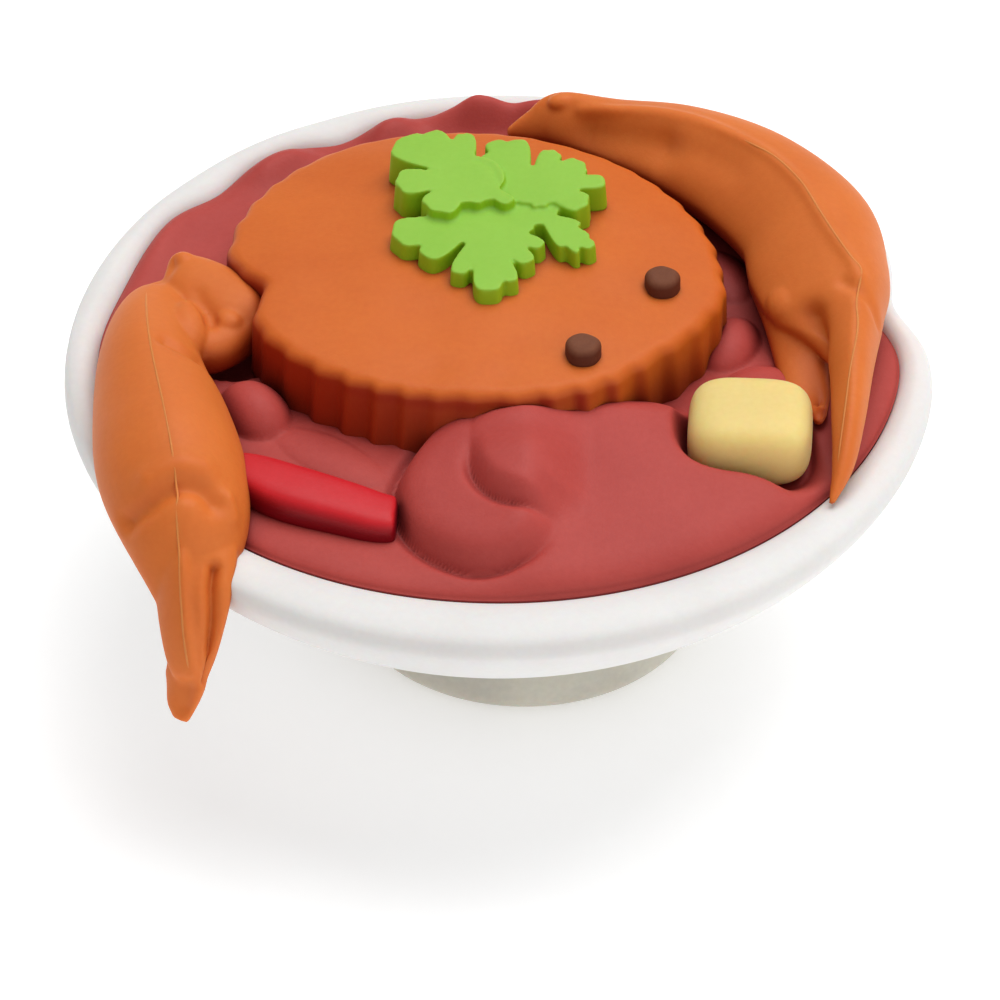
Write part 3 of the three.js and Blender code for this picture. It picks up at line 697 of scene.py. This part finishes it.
claw_left_limbs = [
    # The palm, from the arm to the knuckle over the rim.
    limb(
        [
            ([-12.15, 2.9, 11.9], [0.8, 0.8, 0.5, 0.8, 0.0]),
            ([-12.55, 1.2, 12.2], [1.45, 1.5, 1.0, 1.3, -0.4]),
            ([-12.75, -1.6, 12.2], [1.85, 1.95, 1.75, 1.6, -0.2]),
            ([-12.3, -4.9, 12.1], [2.5, 2.5, 2.2, 1.9, 0.0]),
            ([-11.85, -7.6, 12.0], [2.7, 2.7, 2.4, 2.1, 0.1]),
            ([-11.35, -9.9, 11.55], [2.4, 2.4, 2.15, 1.8, 0.0]),
            ([-11.15, -11.4, 10.85], [1.8, 1.85, 1.2, 1.4, 0.0]),
            ([-11.1, -12.5, 9.8], [1.1, 1.1, 0.5, 1.0, 0.0]),
            ([-11.1, -13.0, 9.1], [0.5, 0.5, 0.2, 0.5, 0.0]),
        ],
        sharp=(1.15, 1.15),
    ),
    # The upper finger.
    limb(
        [
            ([-11.35, -9.6, 11.3], [0.9, 1.1, 1.2, 1.0, 0.0]),
            ([-11.35, -11.3, 10.9], [0.85, 1.1, 1.4, 1.0, 0.0]),
            ([-11.3, -12.7, 9.6], [0.75, 0.95, 1.1, 0.8, 0.0]),
            ([-11.2, -13.5, 8.5], [0.65, 0.8, 0.8, 0.6, 0.0]),
            ([-11.1, -13.9, 7.9], [0.5, 0.6, 0.55, 0.35, 0.05]),
            ([-11.05, -14.1, 7.6], [0.25, 0.3, 0.25, 0.15, 0.05]),
        ],
        sharp=(1.3, 1.3),
    ),
    # The lower finger, behind it.
    limb(
        [
            ([-10.7, -8.4, 11.6], [1.3, 1.5, 1.0, 1.2, 0.0]),
            ([-10.65, -10.6, 11.55], [1.3, 1.4, 0.75, 1.2, 0.0]),
            ([-10.6, -12.5, 10.75], [1.05, 1.2, 0.5, 1.0, 0.0]),
            ([-10.8, -13.4, 9.1], [0.8, 1.05, 0.4, 0.8, 0.0]),
            ([-11.1, -13.95, 7.75], [0.66, 1.05, 0.35, 0.6, 0.0]),
            ([-11.32, -14.25, 6.75], [0.5, 0.8, 0.3, 0.45, 0.0]),
            ([-11.45, -14.45, 6.2], [0.28, 0.34, 0.2, 0.25, 0.0]),
        ]
    ),
    # The arm, which is bonded into the notch in the shell's wall.
    limb(
        [
            ([-12.0, 4.0, 12.5], [0.35, 0.35, 0.4, 0.5, 0.0]),
            ([-11.4, 3.15, 12.4], [1.0, 1.2, 0.75, 1.0, 0.2]),
            ([-10.4, 2.0, 12.3], [1.45, 1.5, 0.9, 1.2, 0.3]),
            ([-9.5, 1.1, 12.2], [1.25, 1.3, 0.9, 1.1, 0.2]),
            ([-8.9, 0.5, 12.1], [0.6, 0.7, 0.5, 0.6, 0.0]),
        ],
        sharp=(1.1, 1.0),
    ),
    # The cuff where the palm starts, then a nib at the elbow and two blobs that round the folds.
    limb(
        [
            ([-11.6, -0.8, 12.0], [1.2, 0.6, 0.7, 1.1, 0.0]),
            ([-10.6, -0.35, 12.0], [1.2, 0.95, 0.75, 1.1, 0.0]),
            ([-9.7, 0.3, 11.95], [1.1, 0.8, 0.75, 1.1, 0.0]),
            ([-8.9, 0.85, 11.9], [0.7, 0.5, 0.6, 0.9, 0.0]),
        ]
    ),
    blob((-11.75, 3.5, 12.8), (0.55, 0.4, 0.42)),
    blob((-11.5, -0.1, 12.35), (0.95, 1.55, 0.95)),
    blob((-10.0, 0.3, 12.5), (0.6, 0.6, 0.5)),
]
claw_left_strokes = [
    # The hollow where the fingers leave the palm, and the knuckles above it.
    ([(-13.4, -10.6, 12.2), (-12.7, -10.7, 13.0), (-11.6, -10.4, 13.7), (-10.7, -10.3, 13.5),
      (-10.3, -10.5, 13.0)], 0.45, 0.42),
    ([(-12.6, -9.8, 13.6), (-11.6, -9.5, 14.1), (-10.7, -9.4, 13.7)], 0.5, -0.16),
    ([(-9.85, -10.1, 12.8), (-9.75, -10.5, 12.3)], 0.32, -0.22),
    # The gap between the fingers.
    ([(-10.2, -12.3, 11.5), (-10.3, -12.85, 11.05), (-10.32, -13.35, 10.2), (-10.4, -13.75, 9.2),
      (-10.5, -14.2, 7.9)], 0.24, 0.45),
    # The scoop inside the lower finger's tip.
    ([(-11.2, -14.3, 7.5), (-11.3, -14.5, 6.85)], 0.4, 0.25),
    # The fold where the palm starts, and the creases on the arm and at its elbow.
    ([(-12.15, -2.4, 13.8), (-11.6, -2.65, 13.5), (-11.0, -2.6, 12.9)], 0.35, 0.28),
    ([(-11.2, 1.4, 13.2), (-10.9, 0.65, 13.0), (-10.65, 0.0, 12.8)], 0.34, 0.16),
    ([(-12.7, 2.6, 12.9), (-12.3, 3.0, 13.0), (-12.15, 3.4, 13.0)], 0.3, 0.2),
]
claw_left = fused("left_claw", claw_left_limbs, claw_left_strokes, CLAW_GRAIN, 8)
claw_left_line = mould_line(
    "left_claw_mould_line",
    [(-13.0, 1.8, 13.2), (-12.9, -0.75, 13.7), (-12.7, -2.85, 14.0), (-12.2, -6.1, 14.4),
     (-11.75, -8.9, 14.2), (-11.6, -10.0, 13.8), (-11.58, -10.9, 13.3), (-11.5, -12.1, 12.2),
     (-11.42, -13.3, 10.8), (-11.3, -13.95, 9.5), (-11.1, -14.4, 8.2)],
    claw_left,
)
for piece, pvc in ((claw_left, claw_orange), (claw_left_line, line_orange_highlight)):
    piece.data.materials.append(pvc)
    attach(piece, "root")
    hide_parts("claw_left")

claw_right_limbs = [
    # The arm, the palm and the upper finger in one sweep along the rim.
    limb(
        [
            ([0.2, 12.0, 12.2], [0.15, 0.15, 0.2, 0.2, 0.0]),
            ([1.1, 12.05, 12.35], [0.5, 0.5, 0.75, 0.6, 0.1]),
            ([2.2, 12.0, 12.5], [0.9, 0.9, 1.4, 1.0, 0.2]),
            ([4.2, 11.2, 12.6], [1.5, 1.3, 1.55, 1.3, -0.2]),
            ([6.6, 9.9, 12.7], [2.1, 1.8, 2.0, 1.5, -0.2]),
            ([9.2, 7.9, 12.8], [2.4, 2.3, 2.25, 1.7, -0.1]),
            ([11.0, 5.2, 12.8], [2.75, 2.4, 2.3, 1.8, 0.0]),
            ([11.6, 2.8, 12.7], [2.6, 2.55, 2.2, 1.7, 0.35]),
            ([11.8, 0.9, 12.7], [2.35, 2.1, 2.0, 1.4, 1.0]),
            ([12.1, -0.8, 12.7], [1.75, 0.8, 1.6, 1.0, 0.7]),
            ([12.4, -3.0, 12.8], [1.05, 0.6, 1.2, 0.7, 0.25]),
            ([12.45, -5.2, 12.5], [0.65, 0.6, 0.9, 0.55, 0.1]),
            ([12.25, -7.2, 12.0], [0.4, 0.42, 0.55, 0.45, 0.0]),
            ([11.8, -8.6, 11.4], [0.12, 0.12, 0.12, 0.12, 0.0]),
        ],
        sharp=(1.0, 1.5),
    ),
    # The lower finger, which lies in the upper one's shade and ends in a small hook.
    limb(
        [
            ([10.6, 3.6, 12.0], [1.6, 1.6, 1.2, 1.2, 0.0]),
            ([10.9, 1.2, 11.9], [1.2, 1.35, 1.0, 1.0, 0.0]),
            ([11.05, -0.8, 11.3], [0.9, 1.05, 0.6, 0.8, 0.2]),
            ([11.25, -2.4, 11.2], [0.7, 0.95, 0.45, 0.6, 0.2]),
            ([11.45, -3.5, 11.5], [0.4, 0.4, 0.3, 0.4, 0.1]),
            ([11.45, -4.2, 11.5], [0.15, 0.15, 0.15, 0.15, 0.0]),
        ]
    ),
    # The knuckle, the nib at the arm's end and the hook's tip.
    blob((10.7, 1.05, 12.75), (1.1, 1.05, 0.85)),
    blob((2.3, 12.0, 13.65), (0.6, 0.35, 0.35)),
    blob((11.6, -3.6, 11.8), (0.22, 0.3, 0.2)),
]
claw_right_strokes = [
    # The hollow under the ridge at the back, and the soft bend below it.
    ([(3.2, 10.5, 13.3), (4.7, 9.9, 13.6), (5.8, 9.2, 13.8)], 0.85, 0.36),
    ([(6.2, 9.0, 13.9), (7.4, 8.2, 14.2), (8.6, 7.1, 14.4)], 0.7, 0.16),
    # The hollow beyond the knuckle, and the crease where the finger leaves the palm.
    ([(11.3, -0.3, 13.3), (11.4, -1.1, 12.9), (11.45, -2.0, 12.4), (11.6, -3.0, 12.0)], 0.5, 0.5),
    ([(12.4, 0.3, 14.5), (13.1, -0.2, 14.2), (13.8, -0.8, 13.4)], 0.28, 0.14),
    # The ridge itself stands up as a soft lip.
    ([(2.9, 11.3, 13.9), (4.8, 10.8, 14.3), (6.3, 10.1, 14.7), (7.6, 9.2, 14.9), (8.9, 8.0, 15.1),
      (10.0, 6.8, 15.1), (11.0, 5.2, 15.1), (11.9, 3.0, 14.9), (12.7, 1.3, 14.7), (13.0, 0.6, 14.4)],
     0.26, -0.14),
]
claw_right = fused("right_claw", claw_right_limbs, claw_right_strokes, CLAW_GRAIN, 9)
claw_right_line = mould_line(
    "right_claw_mould_line",
    [(8.8, 8.0, 15.1), (10.0, 6.8, 15.1), (11.0, 5.2, 15.1), (11.9, 3.0, 14.9), (12.7, 1.3, 14.7),
     (13.0, 0.6, 14.4), (12.85, -0.6, 14.2), (12.85, -1.8, 14.0), (12.6, -3.8, 13.7),
     (12.35, -5.8, 13.0), (12.05, -7.8, 12.1)],
    claw_right,
)
for piece, pvc in ((claw_right, claw_orange), (claw_right_line, line_orange_highlight)):
    piece.data.materials.append(pvc)
    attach(piece, "root")
    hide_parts("claw_right")

# ---------------------------------------------------------------- coriander
# A flat sprig of fresh green PVC, bonded to the shell's back: four overlapping leaflets with soft
# edges, blunt lobes and deep notches between them.

LEAF_GRAIN = 0.06
LEAF_FOOT = 13.9
LEAFLETS = [
    # Each has its hub, its top, the radius of its web, and lobes: direction, reach, half spread.
    (
        (-1.13, 5.45), 15.3, 1.25,
        [(141, 3.5, 21), (120, 3.1, 13), (96, 2.6, 12.5), (-46, 2.1, 12), (-80, 1.6, 30),
         (-126, 2.45, 23.5), (-173, 2.8, 21.5)],
    ),
    (
        (1.0, 5.3), 15.05, 1.1,
        [(132, 2.45, 13), (117, 2.95, 13), (100, 2.75, 13), (66, 2.3, 15), (33, 2.45, 18), (5, 2.8, 12.5),
         (-29, 2.45, 20), (-65, 1.4, 22)],
    ),
    (
        (-0.66, 3.4), 14.88, 1.5,
        [(-166, 3.45, 20), (-136, 3.0, 13.5), (-107, 3.25, 9), (-87.5, 4.1, 11), (-74, 3.7, 7.5),
         (-56, 2.95, 10.5), (-35, 2.6, 10), (-14, 1.9, 20)],
    ),
    (
        (1.25, 3.95), 14.88, 0.8,
        [(-28, 1.8, 10), (-40, 2.45, 9), (-46, 2.95, 9), (-58, 2.85, 5), (-65, 2.3, 7), (150, 0.9, 30)],
    ),
]


def leaflet_radius(angle, web, lobes):
    """Distance from the hub to the edge: lobes with blunt toothed ends, parted by narrow slits."""
    radius = np.full_like(angle, web)
    for direction, lobe_reach, spread in lobes:
        t = np.abs(angle_between(np.degrees(angle), direction) / spread)
        teeth = 0.05 * (np.cos(t * math.pi * 2.5) - 1) if spread > 14 else 0
        lobe = web + (lobe_reach + teeth - web) * np.sqrt(np.clip(1 - t**4, 0, 1))
        radius = np.maximum(radius, lobe)
    return radius


# A clear, fresh green, with painted shade that makes its upright sides a stronger, more yellow green.
leaf_green = moulded_pvc("fresh_green_soft_pvc", "#93C546", "#8BBE3E", steep_shade="#90BC18", glow=0.3)
around = np.linspace(0, TURN, 1080, endpoint=False)
leaf_parts = []
for hub, top, web, lobes in LEAFLETS:
    radius = leaflet_radius(around, web, lobes)
    rings = []
    for share, height in [(0.05, LEAF_FOOT), (0.5, LEAF_FOOT), (1.03, LEAF_FOOT), (1.0, top), (0.5, top),
                          (0.05, top)]:
        r = share * radius
        x, y = hub[0] + r * np.cos(around), hub[1] + r * np.sin(around)
        rings.append(np.stack([x, y, np.full_like(r, height)], -1))
    leaf_parts.append(np.array(rings))
leaf_strokes = [([(-0.9, 6.4, 15.2), (-0.4, 6.0, 15.2), (-0.1, 5.2, 15.2), (0.3, 4.4, 15.2)], 0.15, 0.06)]
leaf = fused("coriander_sprig", leaf_parts, leaf_strokes, LEAF_GRAIN, 5)
leaf.data.materials.append(leaf_green)
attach(leaf, "root")
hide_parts("coriander")

# ---------------------------------------------------------------- chilli
# A piece of bright red chilli, a blunt, rounded bar with a flattened top. It is PVC of its own
# colour, bonded into the sauce with one end under the left claw.

chilli_rings = limb(
    [
        ([-11.3, -6.9, 11.4], [0.35, 0.35, 0.3, 0.3, 0.0]),
        ([-9.6, -7.35, 11.5], [1.0, 0.8, 0.8, 0.55, 0.0]),
        ([-7.6, -8.3, 11.5], [1.15, 1.2, 0.9, 1.1, 0.0]),
        ([-5.5, -9.15, 11.4], [1.1, 1.15, 0.9, 1.1, 0.0]),
        ([-4.4, -9.55, 11.35], [1.0, 1.1, 0.85, 1.05, 0.0]),
        ([-3.75, -9.6, 11.35], [0.95, 1.05, 0.8, 1.0, 0.0]),
    ],
    sides=64,
    sharp=(0.62, 0.62),
)
chilli = fused("chilli_piece", [chilli_rings], [], CLAW_GRAIN, 60)
# A pure bright red, a little shinier than the sauce and the claw beside it, with painted shade that turns
# its sides and creases dark red.
chilli.data.materials.append(
    moulded_pvc(
        "bright_red_soft_pvc", "#CE1E28", "#C21820", steep_shade="#860010", hollow_shade="#700010", roughness=0.45
    )
)
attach(chilli, "root")
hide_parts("chilli")

# ---------------------------------------------------------------- bun
# A small steamed bun of pale yellow PVC: a box gone soft on every side, rounder below than above.
# It is bonded into a pocket in the sauce.

bun_low, bun_high = corners("bun")
bun_middle = (bun_low + bun_high) / 2
BUN_TURN = -0.06
BUN_ROWS = 40
BUN_SIDES = 96


def soft_box(half, turn):
    """Rings of a box with fully rounded sides, turned about the vertical."""
    a = np.linspace(0, TURN, BUN_SIDES, endpoint=False)
    rings = []
    for lift in np.linspace(-math.pi / 2, math.pi / 2, BUN_ROWS + 1)[1:-1]:
        flat = math.cos(lift) ** (0.45 if lift > 0 else 0.7)
        x = half[0] * flat * np.sign(np.cos(a)) * np.abs(np.cos(a)) ** 0.55
        y = half[1] * flat * np.sign(np.sin(a)) * np.abs(np.sin(a)) ** 0.55
        z = half[2] * math.copysign(abs(math.sin(lift)) ** 0.6, lift)
        c, s = math.cos(turn), math.sin(turn)
        rings.append(np.stack([x * c - y * s, x * s + y * c, np.full_like(x, z)], -1))
    return rings


bun = skin("steamed_bun", soft_box(BUN_HALF, BUN_TURN), bun_middle)
# Light goes deep into this pale rubber, which gives it soft, glowing edges.
bun.data.materials.append(
    moulded_pvc("pale_yellow_soft_pvc", "#EAD48C", "#E2CA80", roughness=0.5, glow=1.0, glow_mm=1.6)
)
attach(bun, "root")
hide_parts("bun")

# ---------------------------------------------------------------- studio
# A pale acrylic sheet, faintly lit from below, under a broad overhead soft box. A weak card in
# front and a weaker one at the right lift the shadows.

scene = bpy.context.scene
floor_mesh = bpy.data.meshes.new("table")
FLOOR_HALF = 1.5
floor_mesh.from_pydata(
    [(x * FLOOR_HALF, y * FLOOR_HALF, 0) for x, y in ((-1, -1), (1, -1), (1, 1), (-1, 1))],
    [],
    [(0, 1, 2, 3)],
)
floor = bpy.data.objects.new("table", floor_mesh)
scene.collection.objects.link(floor)
table_sheet = bpy.data.materials.new("back_lit_white_acrylic")
table_sheet.use_nodes = True
table_surface = table_sheet.node_tree.nodes["Principled BSDF"]
table_surface.inputs["Base Color"].default_value = linear("#EDEDED")
table_surface.inputs["Roughness"].default_value = 0.9
table_surface.inputs["Emission Color"].default_value = (1, 1, 1, 1)
table_surface.inputs["Emission Strength"].default_value = 0.35
floor_mesh.materials.append(table_sheet)


LIGHT_TARGET = (0, 0, 0.01)


def soft_light(name, size, power, place):
    """A rectangular lamp turned to the charm, with its size and place in metres, its power in watts."""
    lamp = bpy.data.lights.new(name, "AREA")
    lamp.shape = "RECTANGLE"
    lamp.size, lamp.size_y = size
    lamp.energy = power
    holder = bpy.data.objects.new(name, lamp)
    holder.location = place
    holder.rotation_euler = (Vector(LIGHT_TARGET) - Vector(place)).to_track_quat("-Z", "Y").to_euler()
    scene.collection.objects.link(holder)


soft_light("overhead_box", size=(0.4, 0.35), power=1.52, place=(0.08, 0.12, 0.4))
soft_light("front_card", size=(0.5, 0.25), power=0.3, place=(0.15, -0.4, 0.22))
soft_light("side_card", size=(0.2, 0.15), power=0.14, place=(0.38, -0.22, 0.1))

world = bpy.data.worlds.new("white_studio")
world.use_nodes = True
world.node_tree.nodes["Background"].inputs["Color"].default_value = (1, 1, 1, 1)
world.node_tree.nodes["Background"].inputs["Strength"].default_value = 0.38
scene.world = world
scene.view_settings.view_transform = "Standard"

# ---------------------------------------------------------------- camera
# It stands in front and looks down at 40 degrees, from far enough away to flatten the perspective.

CAMERA_LIFT = math.radians(40)
CAMERA_DISTANCE = 350 * MM
FIELD_WIDTH = 37 * MM  # what the view takes in across, at the charm
LOOK_LEFT = 0.07
LOOK_HEIGHT = 4.35
look_at = np.array([BOWL_AXIS[0] - LOOK_LEFT, BOWL_AXIS[1], LOOK_HEIGHT]) * MM
back = np.array([0, -math.cos(CAMERA_LIFT), math.sin(CAMERA_LIFT)])
lens = bpy.data.cameras.new("camera")
lens.sensor_width = 36
lens.lens = lens.sensor_width * CAMERA_DISTANCE / FIELD_WIDTH
lens.clip_start = 0.01
camera = bpy.data.objects.new("camera", lens)
camera.location = look_at + back * CAMERA_DISTANCE
camera.rotation_euler = (math.pi / 2 - CAMERA_LIFT, 0, 0)
scene.collection.objects.link(camera)
scene.camera = camera
